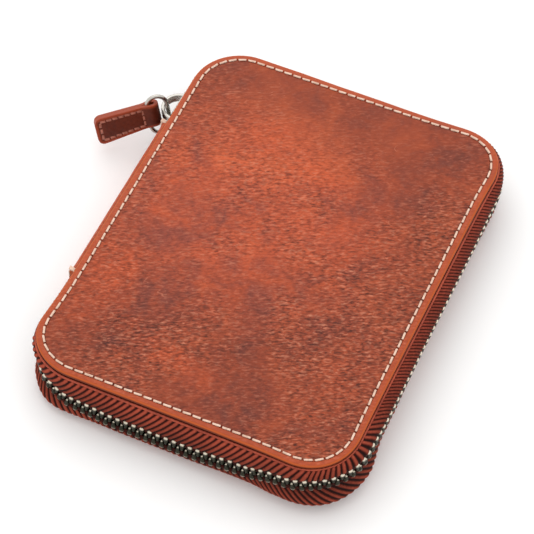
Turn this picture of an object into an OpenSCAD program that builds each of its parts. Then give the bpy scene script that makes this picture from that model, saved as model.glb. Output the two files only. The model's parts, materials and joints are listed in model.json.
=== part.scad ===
// Zip-around leather pouch: two padded covers, a spine strip that folds, and a chain of metal
// teeth round three sides and the two spine corners. The back cover lies on XY, +Z is up,
// +Y runs along the spine and the spine is at -X.

/* [Case] */
// Width of a cover, from the spine edge to the opening edge
case_w = 105; // [88:1:140]
// Length of a cover, along the spine
case_l = 138; // [115:1:190]
// Thickness of the closed case
case_h = 20; // [17:0.5:32]
// Radius of the covers' corners
corner_r = 16.5; // [12:0.5:24]

/* [Layers] */
// Thickness of the cover leather
leather_t = 1.6; // [1.2:0.1:2.4]
// Thickness of the zipper tape, and of the stiffener that lies level with it
tape_t = 0.8; // [0.5:0.1:1.2]
// Thickness of the lining
lining_t = 0.8; // [0.5:0.1:1.2]
// Thickness of one pocket panel
pocket_t = 0.8; // [0.5:0.1:1.2]
// Width of tape sewn in under each cover
seam_w = 6; // [4:0.5:8]
// Gap between layers that lie edge to edge
layer_gap = 0.3; // [0.2:0.1:0.6]

/* [Stitching] */
// Distance of the seam from the cover's edge
stitch_inset = 2.5; // [2:0.1:4]
// Distance from one stitch to the next
stitch_pitch = 3.25; // [2.5:0.05:5]
// Visible length of a stitch
stitch_len = 2.35; // [1.5:0.05:3]
// Width of the thread
thread_w = 0.8; // [0.5:0.1:1.2]
// Depth of the thread in its channel
thread_d = 0.4; // [0.2:0.1:0.6]

/* [Zipper] */
// How far the chain stands out past the covers' edges
chain_bulge = 1.8; // [1:0.1:3]
// Distance from one tooth to the next in a row
tooth_pitch = 2.7; // [2.3:0.05:3.2]
// Gap between a tooth and its meshed neighbour, along the chain
tooth_gap = 0.15; // [0.1:0.05:0.3]
// Size of a tooth across the chain, from face to face
tooth_d = 2.4; // [2:0.1:3]
// Height of both rows together
chain_h = 6; // [5.6:0.1:6.8]
// Gap between the two tapes' edges
bead_gap = 2.8; // [2.4:0.1:3.2]
// How far the tooth heads reach past the middle of the chain
tooth_bite = 0.45; // [0.3:0.05:0.6]
// Angle of each spine corner that the end of the chain takes up
corner_free_deg = 20; // [16:1:26]

/* [Spine] */
// Thickness of the spine strip
strip_t = 1.6; // [1.2:0.1:2]
// Gap between the strip and the covers' edges
fold_gap = 0.2; // [0.15:0.05:0.4]
// Length of tape tucked in behind the strip
tuck_l = 6; // [4:0.5:10]

/* [Slider] */
// Length of the slider
slider_l = 12; // [10:0.5:14]
// Height of the slider's plates
slider_h = 8.4; // [8:0.2:10]
// Thickness of each plate
plate_t = 1; // [0.8:0.1:1.4]
// Clearance round the chain
slider_gap = 0.25; // [0.2:0.05:0.4]
// Distance of the slider from the spine strip's end when closed
slider_park = 6; // [4:0.5:10]
// How far the slider can still run away from the strip before the corner
slider_out = 1.5; // [1:0.5:5]
// Outer radius of the crown
crown_r = 5.8; // [5.4:0.1:6.5]
// Thickness of the crown
crown_t = 1.2; // [1:0.1:1.4]
// Width of the crown
crown_w = 3.2; // [2.4:0.1:4]
// Gap between the ring's wire and the crown
crown_gap = 0.45; // [0.35:0.05:0.6]

/* [Pull] */
// Diameter of the ring's wire
wire_d = 1.4; // [1:0.1:1.5]
// Width of the ring outside
ring_w = 8.2; // [7.8:0.1:10]
// How much longer the ring is than the pull is wide
ring_over = 5.5; // [5:0.5:8]
// Length of the leather pull
tab_l = 20.5; // [16:0.5:36]
// Gap between the pull's fold and the crown
fold_clear = 0.35; // [0.3:0.05:1.2]
// Width of the leather pull
tab_w = 10; // [8:0.5:14]
// Thickness of the pull's leather
tab_leather_t = 1.3; // [1:0.1:1.5]
// Roll of the pull about its own length where it hangs
pull_roll = 18; // [0:1:24]
// Drop of the pull's end below level
pull_drop = 5.6; // [0:0.2:12]
// Heading of the pull seen from above, 180 being straight out from the spine
pull_heading = 219.7; // [205:0.1:225]

/* [Pockets] */
// Length of the slip pocket's panel
slip_pocket_l = 92; // [70:1:104]
// Length of the deeper card pocket's panel
card_pocket_l = 68; // [58:1:80]
// Step from the deeper card pocket's mouth to the other one's
card_step = 20; // [12:1:26]
// Margin from the cover's edge to the pockets
pocket_inset = 6.5; // [5:0.5:9]

/* [Hidden] */
$fn = 64;
cut = 1;                                              // how far a cutting shape runs past a face
mid_z = case_h / 2;
lining_z = leather_t + tape_t;
pocket_z = lining_z + lining_t;
tape_bend = 0.2;                                      // the tape bends this far inside the edge
tape_shoulder = 0.4;                                  // and is upright again this far under the teeth
edge_in = tape_t + layer_gap + tape_bend / 2;         // the lining stops short of the bend
board_in = seam_w + layer_gap;
straight_y = case_l / 2 - corner_r;
straight_x = case_w / 2 - corner_r;

chain_r = corner_r + chain_bulge;                     // radius of the chain round a corner
tooth_w = tooth_pitch / 2 - tooth_gap;
bead_z = mid_z - bead_gap / 2;                        // edge of the lower tape
leg_z = mid_z - chain_h / 2;
corner_len = 90 * PI / 180 * chain_r;
free_len = corner_free_deg * PI / 180 * chain_r;
chain_len = 4 * corner_len + 4 * straight_x + 2 * straight_y - 2 * free_len;
tooth_n = floor(chain_len / tooth_pitch) - 1;
tooth_start = free_len + (chain_len - (tooth_n - 1) * tooth_pitch) / 2;

axis_x = -case_w / 2 - fold_gap - strip_t / 2;        // both fold lines lie on this x
strip_in = axis_x + strip_t / 2;                      // inner face of the strip
end_x = strip_in + tape_t / 2;                        // middle of the chain along the spine
strip_z = pocket_z + layer_gap;                       // lower edge of what lines the strip
end_y = straight_y + corner_r * 0.3;                  // the spine's stretch of chain ends here
slider_y = straight_y - slider_out - slider_l / 2;
strip_l = 2 * (slider_y - slider_l / 2 - slider_park);
diamond_l = 2.3;
diamond_gap = 1;
spine_teeth_y = slider_y - slider_l / 2 + diamond_l + slider_out + diamond_gap;
stop_l = 1.2;
stop_gap = 0.1;
plate_in = tooth_d / 2 + slider_gap;
crown_x = end_x - plate_in - plate_t;                 // outer face of the slider
wire_in = crown_r - crown_t - wire_d / 2 - crown_gap; // from the crown's centre to the near wire
bar_gap = ring_w - wire_d;                            // between the ring's two long wires
ring_l = tab_w + ring_over;
loop_gap = wire_d / 2 + 0.2;                          // half the hollow in the pull's fold
loop_r = loop_gap + tab_leather_t;
fold_slack = wire_in + bar_gap - loop_r - crown_r - fold_clear;
tab_far = tab_l - fold_slack - loop_r;                // the pull's free end, from the far wire
tab_sewn = loop_r + 1.8;                              // the two layers lie together from here
slip_top = slip_pocket_l - case_l / 2 + pocket_inset;
card_top = card_pocket_l - case_l / 2 + pocket_inset;

leather = "sienna";
thread = "antiquewhite";
brass = "dimgray";

// Place and heading at distance s along a rounded rectangle of half sizes a and b and radius r.
// It starts at the lower end of the -X side and runs along -Y, +X and +Y: [x, y, heading].
function turn_at(cx, cy, r, a0, s) = [cx + r * cos(a0 + s / r * 180 / PI),
                                      cy + r * sin(a0 + s / r * 180 / PI),
                                      a0 + 90 + s / r * 180 / PI];
function path_at(a, b, r, s) =
    let (q = PI / 2 * r, u = 2 * (a - r), v = 2 * (b - r))
    s < q ? turn_at(-a + r, -b + r, r, 180, s)
    : s < q + u ? [-a + r + s - q, -b, 0]
    : s < 2 * q + u ? turn_at(a - r, -b + r, r, 270, s - q - u)
    : s < 2 * q + u + v ? [a, -b + r + s - 2 * q - u, 90]
    : s < 3 * q + u + v ? turn_at(a - r, b - r, r, 0, s - 2 * q - u - v)
    : s < 3 * q + 2 * u + v ? [a - r - s + 3 * q + u + v, b, 180]
    : s < 4 * q + 2 * u + v ? turn_at(-a + r, b - r, r, 90, s - 3 * q - 2 * u - v)
    : [-a, b - r - s + 4 * q + 2 * u + v, 270];
function path_len(a, b, r) = 2 * PI * r + 4 * (a - r) + 4 * (b - r);

// Outline of a cover, drawn in by a margin
module outline(inset) {
    r = corner_r - inset;
    union() {
        square([case_w - 2 * corner_r, case_l - 2 * inset], center = true);
        square([case_w - 2 * inset, case_l - 2 * corner_r], center = true);
        for (x = [-1, 1], y = [-1, 1])
            translate([x * straight_x, y * straight_y]) circle(r);
    }
}

module plate(inset, z, t) {
    translate([0, 0, z]) linear_extrude(t) outline(inset);
}

// The front half is the back half turned over
module upper() {
    translate([0, 0, case_h]) mirror([0, 0, 1]) children();
}

module cover() {
    channel_half = thread_w * 0.65;
    difference() {
        plate(0, 0, leather_t);
        translate([0, 0, -cut]) linear_extrude(cut + thread_d) difference() {
            outline(stitch_inset - channel_half);
            outline(stitch_inset + channel_half);
        }
    }
}

module cover_stitches() {
    a = case_w / 2 - stitch_inset;
    b = case_l / 2 - stitch_inset;
    r = corner_r - stitch_inset;
    n = round(path_len(a, b, r) / stitch_pitch);
    step = path_len(a, b, r) / n;
    for (i = [0 : n - 1]) {
        p = path_at(a, b, r, (i + 0.5) * step);
        translate([p[0], p[1], thread_d / 2]) rotate(p[2])
            cube([stitch_len, thread_w, thread_d], center = true);
    }
}

// Section of the lower tape, x outwards from the cover's edge
module tape_section() {
    inner = chain_bulge - tape_t / 2;
    outer = chain_bulge + tape_t / 2;
    upright_z = leg_z - tape_shoulder;
    polygon([[-seam_w, leather_t], [-tape_bend, leather_t], [outer, upright_z], [outer, bead_z],
             [inner, bead_z], [inner, upright_z], [-tape_bend - tape_t, lining_z],
             [-seam_w, lining_z]]);
}

module tape_corner(x, y, from, sweep) {
    translate([x * straight_x, y * straight_y]) rotate(from)
        rotate_extrude(angle = sweep) translate([corner_r, 0]) tape_section();
}

module tape_side(turn, out, half) {
    rotate(turn) translate([out, half, 0]) rotate([90, 0, 0])
        linear_extrude(2 * half) tape_section();
}

module tape() {
    tape_side(0, case_w / 2, straight_y);
    for (m = [0, 1]) mirror([0, m, 0]) {
        tape_corner(1, 1, 0, 90);
        tape_side(90, case_l / 2, straight_x);
        tape_corner(-1, 1, 90, 90 - corner_free_deg);
    }
}

// One tooth of the lower row: two legs clamp the tape's bead and a narrower head meshes
module tooth() {
    bevel = 0.4;
    head = tooth_d / 2 - bevel;
    rotate([90, 0, 90]) linear_extrude(tooth_w, center = true)
        polygon([[-tooth_d / 2, leg_z], [-tape_t / 2, leg_z], [-tape_t / 2, bead_z],
                 [tape_t / 2, bead_z], [tape_t / 2, leg_z], [tooth_d / 2, leg_z],
                 [tooth_d / 2, mid_z - tooth_bite], [head, mid_z + tooth_bite],
                 [-head, mid_z + tooth_bite], [-tooth_d / 2, mid_z - tooth_bite]]);
}

module teeth(shift) {
    for (i = [0 : tooth_n - 1]) {
        p = path_at(case_w / 2 + chain_bulge, case_l / 2 + chain_bulge, chain_r,
                    tooth_start + (i + shift) * tooth_pitch);
        translate([p[0], p[1], 0]) rotate(p[2]) tooth();
    }
}

// A rectangular pocket panel whose near corners follow the case, from the near side to y_top
module pocket_panel(y_top, z) {
    translate([0, 0, z]) linear_extrude(pocket_t) intersection() {
        outline(pocket_inset);
        translate([-case_w / 2, -case_l / 2]) square([case_w, case_l / 2 + y_top]);
    }
}

module panel_stitches(y_top, z) {
    inset = pocket_inset + stitch_inset;
    a = case_w / 2 - inset;
    b = case_l / 2 - inset;
    r = corner_r - inset;
    side = b + y_top - r - stitch_pitch;
    span = PI * r + 2 * (a - r) + 2 * side;
    n = floor(span / stitch_pitch);
    for (i = [0 : n - 1]) {
        s = (i + 0.5) * span / n - side;
        p = s < 0 ? [-a, -b + r - s, 270] : path_at(a, b, r, s);
        translate([p[0], p[1], z + thread_d / 4]) rotate(p[2])
            cube([stitch_len, thread_w, thread_d / 2], center = true);
    }
}

module back_cover() { color(leather) cover(); }
module back_stiffener() { color("tan") plate(board_in, leather_t, tape_t); }
module back_lining() { color("saddlebrown") plate(edge_in, lining_z, lining_t); }
module back_tape() { color("maroon") tape(); }
module back_teeth() { color(brass) teeth(0); }
module back_stitches() { color(thread) cover_stitches(); }
module front_cover() { color(leather) upper() cover(); }
module front_stiffener() { color("tan") upper() plate(board_in, leather_t, tape_t); }
module front_lining() { color("saddlebrown") upper() plate(edge_in, lining_z, lining_t); }
module front_tape() { color("maroon") upper() tape(); }
module front_teeth() { color(brass) upper() teeth(0.5); }
module front_stitches() { color(thread) upper() cover_stitches(); }

module slip_pocket() { color(leather) pocket_panel(slip_top, pocket_z); }
module slip_pocket_stitches() { color(thread) panel_stitches(slip_top, pocket_z + pocket_t); }
module card_pocket_deep() { color(leather) upper() pocket_panel(card_top, pocket_z); }
module card_pocket_short() {
    color(leather) upper() pocket_panel(card_top - card_step, pocket_z + pocket_t);
}
module card_pocket_stitches() {
    color(thread) upper() panel_stitches(card_top - card_step, pocket_z + 2 * pocket_t);
}

// The strip's two long edges are round, and each is centred on a fold line
module spine_strip() {
    color(leather) translate([axis_x, strip_l / 2, 0]) rotate([90, 0, 0]) linear_extrude(strip_l) {
        translate([-strip_t / 2, strip_t / 2]) square([strip_t, case_h - strip_t]);
        for (z = [strip_t / 2, case_h - strip_t / 2]) translate([0, z]) circle(strip_t / 2);
    }
}

module spine_lining() {
    half = strip_l / 2 - tuck_l - layer_gap;
    color("saddlebrown") translate([strip_in, -half, strip_z])
        cube([lining_t, 2 * half, case_h - 2 * strip_z]);
}

// Both tapes along the spine, from behind the strip to the start of each corner
module spine_tapes() {
    from = strip_l / 2 - tuck_l;
    color("maroon") for (m = [0, 1], n = [0, 1])
        mirror([0, m, 0]) translate([0, 0, n * case_h]) mirror([0, 0, n])
            translate([strip_in, from, strip_z]) cube([tape_t, end_y - from, bead_z - strip_z]);
}

module spine_tooth_row(from, to) {
    n = floor((to - from) / tooth_pitch - 0.5);
    for (i = [0 : n - 1]) {
        y = from + tooth_w / 2 + i * tooth_pitch;
        translate([end_x, y, 0]) rotate(90) tooth();
        translate([end_x, y + tooth_pitch / 2, 0]) rotate(90) upper() tooth();
    }
}

module spine_teeth() {
    color(brass) {
        spine_tooth_row(spine_teeth_y, end_y);
        mirror([0, 1, 0]) spine_tooth_row(strip_l / 2 + 2 * stop_l + 2 * stop_gap, end_y);
    }
}

// Threads across the ends of the strip, close to both covers
module bar_tacks() {
    tack_n = 3;
    tack_pitch = thread_w * 1.1;
    tack_z = strip_t * 1.5;
    outer_x = axis_x - strip_t / 2;
    color(thread) for (m = [0, 1], n = [0, 1], k = [0 : tack_n - 1])
        mirror([0, m, 0]) translate([0, 0, n * case_h]) mirror([0, 0, n])
            translate([outer_x - thread_d / 2, strip_l / 2 - thread_w - k * tack_pitch, tack_z])
                cube([thread_d / 2, thread_w, stitch_len]);
}

// A clip on each tape's end stops the slider
module top_stops() {
    cap = 0.3;
    slot_h = bead_z - leg_z + cut;
    color(brass) for (n = [0, 1]) translate([0, 0, n * case_h]) mirror([0, 0, n])
        translate([end_x, strip_l / 2 + stop_gap, 0]) difference() {
            translate([-tooth_d / 2, 0, leg_z]) cube([tooth_d, stop_l, bead_z + cap - leg_z]);
            translate([-tape_t / 2, -cut, leg_z - cut]) cube([tape_t, stop_l + 2 * cut, slot_h]);
        }
}

// A clip across both tapes joins them for good at the other end
module bottom_stop() {
    w = 2 * stop_l - stop_gap;
    color(brass) translate([end_x, -strip_l / 2 - stop_gap - w, 0]) difference() {
        translate([-tooth_d / 2, 0, leg_z]) cube([tooth_d, w, chain_h]);
        for (z = [leg_z - cut, case_h - bead_z])
            translate([-tape_t / 2, -cut, z]) cube([tape_t, w + 2 * cut, bead_z - leg_z + cut]);
    }
}

// Two plates joined by a wedge at the end that opens the chain, with lips that hold the rows
module slider_body() {
    lip_z = chain_h / 2 + slider_gap;
    slot = tape_t / 2 + slider_gap;
    nose = slider_h / 4;
    diamond_h = 2;
    color("silver") translate([end_x, slider_y, mid_z]) {
        for (m = [0, 1]) mirror([m, 0, 0]) {
            translate([-plate_in - plate_t, 0, 0]) rotate([90, 0, 90]) linear_extrude(plate_t)
                union() {
                    square([slider_l - 2 * nose, slider_h], center = true);
                    square([slider_l, slider_h - 2 * nose], center = true);
                    for (y = [-1, 1], z = [-1, 1])
                        translate([y * (slider_l / 2 - nose), z * (slider_h / 2 - nose)]) circle(nose);
                }
            for (n = [0, 1]) mirror([0, 0, n])
                translate([-plate_in - plate_t / 2, nose - slider_l / 2, lip_z])
                    cube([plate_in + plate_t / 2 - slot, slider_l - 2 * nose, slider_h / 2 - lip_z]);
        }
        translate([-plate_in - plate_t / 2, -slider_l / 2, -diamond_h / 2])
            cube([2 * plate_in + plate_t, diamond_l, diamond_h]);
    }
}

module slider_crown() {
    color("silver") translate([crown_x, slider_y, mid_z - crown_w / 2]) linear_extrude(crown_w)
        difference() {
            circle(crown_r);
            circle(crown_r - crown_t);
            translate([0, -2 * crown_r]) square(4 * crown_r);
        }
}

// Frame of the pull: x outwards along it from the ring's near wire, z along the wires
module pull_frame() {
    translate([crown_x, slider_y, mid_z])
        translate(wire_in * [cos(pull_heading), sin(pull_heading), 0])
            rotate([pull_roll, pull_drop, pull_heading]) children();
}

module pull_ring() {
    cap_r = bar_gap / 2;
    half = ring_l / 2 - wire_d / 2 - cap_r;
    color("silver") pull_frame() {
        for (x = [0, bar_gap]) translate([x, 0, -half]) cylinder(h = 2 * half, d = wire_d);
        for (n = [0, 1]) mirror([0, 0, n]) translate([cap_r, 0, half]) rotate([90, 0, 0])
            rotate_extrude(angle = 180) translate([cap_r, 0]) circle(d = wire_d);
    }
}

// A strip folded round the ring's far wire, its two ends sewn together
module tab_section() {
    s = fold_slack;
    t = tab_leather_t;
    taper = 1.1;                                      // the two layers start to close up here
    closed = tab_sewn - 0.8;                          // and touch here
    difference() {
        union() {
            translate([-s, 0]) circle(loop_r);
            polygon([[-s, -loop_r], [taper, -loop_r], [tab_sewn, -t], [tab_far, -t],
                     [tab_far, t], [tab_sewn, t], [taper, loop_r], [-s, loop_r]]);
        }
        translate([-s, 0]) circle(loop_gap);
        polygon([[-s, -loop_gap], [taper, -loop_gap], [closed, 0], [taper, loop_gap], [-s, loop_gap]]);
    }
}

module tab_leather() {
    round_r = 2.6;
    near = -fold_slack - loop_r;
    color(leather) pull_frame() translate([bar_gap, 0, 0]) intersection() {
        translate([0, 0, -tab_w / 2]) linear_extrude(tab_w) tab_section();
        rotate([90, 0, 0]) linear_extrude(4 * loop_r, center = true) union() {
            translate([near, -tab_w / 2]) square([tab_l - round_r, tab_w]);
            translate([near, round_r - tab_w / 2]) square([tab_l, tab_w - 2 * round_r]);
            for (z = [-1, 1]) translate([tab_far - round_r, z * (tab_w / 2 - round_r)]) circle(round_r);
        }
    }
}

module tab_stitches() {
    inset = 1.9;
    tab_pitch = 2.2;
    dash = 0.7;                                       // part of the pitch that shows as thread
    width = thread_w * 0.8;
    x0 = tab_sewn + width;
    x1 = tab_far - inset;
    long_n = round((x1 - x0) / tab_pitch);
    long_step = (x1 - x0) / long_n;
    cross_n = 3;
    cross_step = (tab_w - 2 * inset) / cross_n;
    color("rosybrown") pull_frame() translate([bar_gap, 0, 0]) for (m = [0, 1]) mirror([0, m, 0])
        translate([0, tab_leather_t + thread_d / 4, 0]) {
            for (z = [-1, 1], i = [0 : long_n - 1])
                translate([x0 + (i + 0.5) * long_step, 0, z * (tab_w / 2 - inset)])
                    cube([long_step * dash, thread_d / 2, width], center = true);
            for (x = [x0, x1], i = [0 : cross_n - 1])
                translate([x, 0, (i + 0.5) * cross_step - tab_w / 2 + inset])
                    cube([width, thread_d / 2, cross_step * dash], center = true);
        }
}

back_cover();
back_stiffener();
back_lining();
back_tape();
back_teeth();
back_stitches();
slip_pocket();
slip_pocket_stitches();
front_cover();
front_stiffener();
front_lining();
front_tape();
front_teeth();
front_stitches();
card_pocket_deep();
card_pocket_short();
card_pocket_stitches();
spine_strip();
spine_lining();
spine_tapes();
spine_teeth();
bar_tacks();
top_stops();
bottom_stop();
slider_body();
slider_crown();
pull_ring();
tab_leather();
tab_stitches();
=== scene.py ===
import json
from bisect import bisect_right
from math import cos, exp, hypot, pi, radians, sin, sqrt

import bmesh
import bpy
from mathutils import Euler, Matrix, Vector, noise


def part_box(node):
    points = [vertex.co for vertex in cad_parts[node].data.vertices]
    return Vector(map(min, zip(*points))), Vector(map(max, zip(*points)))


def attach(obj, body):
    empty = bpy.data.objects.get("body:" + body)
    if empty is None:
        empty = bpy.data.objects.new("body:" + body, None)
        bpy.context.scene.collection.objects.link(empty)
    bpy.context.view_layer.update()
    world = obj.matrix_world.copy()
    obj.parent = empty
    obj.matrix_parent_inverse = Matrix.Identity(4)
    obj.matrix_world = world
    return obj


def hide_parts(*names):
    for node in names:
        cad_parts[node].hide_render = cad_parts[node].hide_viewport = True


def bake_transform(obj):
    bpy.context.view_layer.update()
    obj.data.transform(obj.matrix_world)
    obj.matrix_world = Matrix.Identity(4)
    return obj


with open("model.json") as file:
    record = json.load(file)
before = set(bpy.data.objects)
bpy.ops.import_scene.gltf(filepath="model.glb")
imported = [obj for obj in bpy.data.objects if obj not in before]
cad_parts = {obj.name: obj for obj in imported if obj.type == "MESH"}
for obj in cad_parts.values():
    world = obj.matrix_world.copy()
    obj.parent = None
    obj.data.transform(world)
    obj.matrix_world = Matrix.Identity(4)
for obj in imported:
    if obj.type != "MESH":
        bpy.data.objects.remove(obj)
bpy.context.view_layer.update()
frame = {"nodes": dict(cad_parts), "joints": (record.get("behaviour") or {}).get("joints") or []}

mm = 0.001

# All lengths are in millimetres until a piece is finished, and read from the frame where it has them
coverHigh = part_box("back_cover")[1] / mm
stripLow, stripHigh = (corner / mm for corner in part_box("spine_strip"))
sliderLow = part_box("slider_body")[0] / mm
joints = {j["name"]: j for j in frame["joints"]}

case = {
    "cornerRadius": 16.5,
    "seamInset": 2.5,
    "stitchPitch": 3.25,
    "tapeInset": 0.2,       # the tape leaves the case this far inside the covers' edges
    "splitAngle": 20,       # degrees round the spine corners where the halves' tapes end
}
halfWidth = coverHigh.x
halfLength = coverHigh.y
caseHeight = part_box("front_cover")[1].z / mm
leatherThickness = coverHigh.z
cornerRadius = case["cornerRadius"]
straightX = halfWidth - cornerRadius
straightY = halfLength - cornerRadius
quarter = pi / 2 * cornerRadius
edgeLength = 4 * (quarter + straightX + straightY)
spineSide = 4 * quarter + 4 * straightX + 2 * straightY   # where the spine's straight side starts


def rimPlace(s, out):
    # point and outward direction at distance s along the rim, from the spine side's near end
    legs = (
        (-straightX, -straightY, 180, quarter), (-straightX, -halfLength, 0, 2 * straightX),
        (straightX, -straightY, 270, quarter), (halfWidth, -straightY, 90, 2 * straightY),
        (straightX, straightY, 0, quarter), (straightX, halfLength, 180, 2 * straightX),
        (-straightX, straightY, 90, quarter), (-halfWidth, straightY, 270, 2 * straightY),
    )
    s = s % edgeLength
    for number, (x, y, degrees, span) in enumerate(legs):
        if s <= span or number == len(legs) - 1:
            break
        s -= span
    heading = radians(degrees)
    if number % 2 == 0:
        turned = heading + s / cornerRadius
        outward = Vector((cos(turned), sin(turned), 0))
        return Vector((x, y, 0)) + outward * (cornerRadius + out), outward
    along = Vector((cos(heading), sin(heading), 0))
    outward = Vector((along.y, -along.x, 0))
    return Vector((x, y, 0)) + along * s + outward * out, outward


def depthInside(x, y):
    # how far a point lies inside the covers' outline
    dx = abs(x) - straightX
    dy = abs(y) - straightY
    return cornerRadius - hypot(max(dx, 0), max(dy, 0)) - min(max(dx, dy), 0)


def ease(a, b, x):
    t = min(1, max(0, (x - a) / (b - a)))
    return t * t * (3 - 2 * t)


# The chain wanders up and down round the case. Columns: distance along the rim, height of its
# middle, how far it stands out, belly of the front tape, lean, belly of the back tape
leanHeight = 6      # the lean is how far the chain's top lies behind its foot over this height
chainCourse = [
    (0, 9.6, 0.1, 0.9, 0.0, 0.6), (10, 9.6, 0.2, 1.1, 0.0, 2.6), (19, 9.1, 0.5, 0.9, 0.1, 3.6),
    (28, 7.9, 1.3, 0.6, 0.6, 2.0), (42, 7.5, 2.1, 0.6, 0.9, 0.2), (66, 7.6, 2.2, 0.6, 0.9, -0.4),
    (84, 9.4, 2.3, 0.6, 0.7, 0.6), (96, 12.2, 2.2, 0.7, 0.3, 3.2), (108, 13.8, 2.2, 0.7, 0.0, 5.0),
    (122, 13.6, 2.5, 0.8, -0.3, 3.8), (136, 12.2, 2.5, 0.7, -0.9, 0.8), (176, 10.6, 1.9, 0.7, -1.3, 0.0),
    (205, 9.8, 1.7, 0.8, -1.3, 0.3), (229, 8.9, 1.3, 1.2, -0.8, 0.6), (242, 8.8, 1.3, 1.3, -0.4, 0.8),
    (256, 9.2, 1.6, 0.9, 0.0, 0.8), (291, 9.2, 1.9, 0.7, 0.0, 0.7), (327, 9.8, 1.7, 0.6, 0.0, 0.6),
    (340, 10.0, 1.0, 0.4, 0.0, 0.4), (350, 10.0, 0.0, 0.2, 0.0, 0.2), (356, 10.0, -0.2, 0.0, 0.0, 0.0),
    (430, 10.0, -0.2, 0.0, 0.0, 0.0), (446, 9.8, -0.2, 0.6, 0.0, 0.1),
    (edgeLength, 9.6, 0.1, 0.9, 0.0, 0.6),
]


def chainAt(s):
    s = s % edgeLength
    row = bisect_right([k[0] for k in chainCourse], s)
    row = min(max(row, 1), len(chainCourse) - 1)
    a, b = chainCourse[row - 1], chainCourse[row]
    t = ease(a[0], b[0], s)
    return [p + (q - p) * t for p, q in zip(a[1:], b[1:])]


def chainPoint(s, across=0.0, up=0.0):
    # a point on the chain: across is outwards from its middle, up is along its height
    height, out, _, lean, _ = chainAt(s)
    point, outward = rimPlace(s, out + across - lean * up / leanHeight)
    point.z = height + up
    return point, outward


print("rim", round(edgeLength, 1), "mm")


def addObject(name, data):
    made = bpy.data.objects.new(name, data)
    bpy.context.scene.collection.objects.link(made)
    return made


# Camera: above the near end, looking down along the case
camera = addObject("camera", bpy.data.cameras.new("camera"))
camera.data.lens = 164.47
camera.data.clip_start = 0.05
camera.data.clip_end = 20
camera.matrix_world = Matrix((
    (0.90941, -0.33698, 0.24375, 0.1858),
    (0.41590, 0.73685, -0.53299, -0.4109),
    (0.0, 0.58608, 0.81025, 0.6327),
    (0, 0, 0, 1),
))
bpy.context.scene.camera = camera


def plug(node, name, value):
    if isinstance(value, bpy.types.NodeSocket):
        node.id_data.links.new(value, node.inputs[name])
    else:
        node.inputs[name].default_value = value


def addNode(kind, values, **settings):
    # the node joins the tree of the first socket that feeds it
    tree = next(v.id_data for v in values.values() if isinstance(v, bpy.types.NodeSocket))
    made = tree.nodes.new(kind)
    for key, value in settings.items():
        setattr(made, key, value)
    for key, value in values.items():
        plug(made, key, value)
    return made


def calc(operation, a, b=0.0, c=0.0, clamp=False):
    return addNode("ShaderNodeMath", {0: a, 1: b, 2: c}, operation=operation,
                   use_clamp=clamp).outputs[0]


def opaque(colour):
    # a grey may be one number
    return (*colour, 1) if isinstance(colour, tuple) else (colour,) * 3 + (1,)


def blendColour(factor, a, b, how="MIX"):
    return addNode("ShaderNodeMix", {0: factor, 6: a, 7: b}, data_type="RGBA",
                   blend_type=how).outputs[2]


def ramp(value, *stops):
    made = addNode("ShaderNodeValToRGB", {0: value})
    band = made.color_ramp
    while len(band.elements) < len(stops):
        band.elements.new(0.5)
    for element, (position, colour) in zip(band.elements, stops):
        element.position = position
        element.color = opaque(colour)
    return made.outputs[0]


def cellsAt(place):
    return addNode("ShaderNodeTexVoronoi", {"Vector": place, "Scale": 1.0, "Randomness": 1.0},
                   feature="SMOOTH_F1").outputs[0]


def noiseAt(place, scale, detail=3.0, roughness=0.55, distortion=0.0):
    return addNode("ShaderNodeTexNoise", {
        "Vector": place, "Scale": scale, "Detail": detail, "Roughness": roughness,
        "Distortion": distortion}).outputs[0]


def newMaterial(name, roughness, metallic=0.0):
    made = bpy.data.materials.new(name)
    made.use_nodes = True
    shader = made.node_tree.nodes["Principled BSDF"]
    plug(shader, "Roughness", roughness)
    plug(shader, "Metallic", metallic)
    return made, shader, made.node_tree.nodes.new("ShaderNodeTexCoord").outputs["Object"]


def turnedPlace(place, turn, scale, shift=(0, 0, 0)):
    # the pattern's first axis lies at the given turn; scales are per metre along its own axes
    return addNode("ShaderNodeMapping", {
        "Vector": place, "Location": shift, "Rotation": (0, 0, radians(turn)),
        "Scale": tuple(1 / c for c in scale)}, vector_type="TEXTURE").outputs[0]


def layerValue(place, name):
    made = place.id_data.nodes.new("ShaderNodeAttribute")
    made.attribute_name = name
    return made.outputs["Fac"]


def bumpOf(height, distance, strength=1.0, under=None):
    values = {"Height": height, "Distance": distance, "Strength": strength}
    if under is not None:
        values["Normal"] = under
    return addNode("ShaderNodeBump", values).outputs[0]


# Pull-up leather: dark and light clouds, orange where it has been bent, a drawn grain, scuffs
leatherLook = {
    "dark": (0.205, 0.038, 0.020),
    "mid": (0.335, 0.054, 0.018),
    "light": (0.450, 0.078, 0.024),
    "orange": (0.580, 0.088, 0.022),
    "dust": (0.580, 0.215, 0.125),
    "margin": (0.460, 0.078, 0.024),
    # painted shade for the rim's outer side and underside
    "rim": (0.450, 0.082, 0.013),
    "under": (0.150, 0.026, 0.007),
    "scratch": (0.600, 0.210, 0.120),
    "middle": (-17, 8, 62, 52),         # the lighter middle: x, y and half sizes in mm
    "middleTone": (1.24, 0.76),
    "grainTurn": 24.6,
    "grainScale": (500, 1400, 800),     # per metre, along the grain, across it and down
    "cellScale": (700, 1300, 800),
    "bump": 0.0004,
    "gloss": 0.22,
    "calm": (-6, 70, 90, 56),           # the far end, where the hide is smoother
}
# Places rubbed to orange: x, y, half length, half width (mm), turn, strength
rubbedPlaces = [
    (0, 33, 24, 10, -20, 0.4), (-9, -51, 22, 6, -16, 0.95), (-44, -36, 14, 24, 0, 0.75),
    (20, 12, 20, 12, 30, 0.35), (-20, 40, 18, 10, 30, 0.4), (38, -38, 10, 20, 0, 0.25),
]


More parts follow.
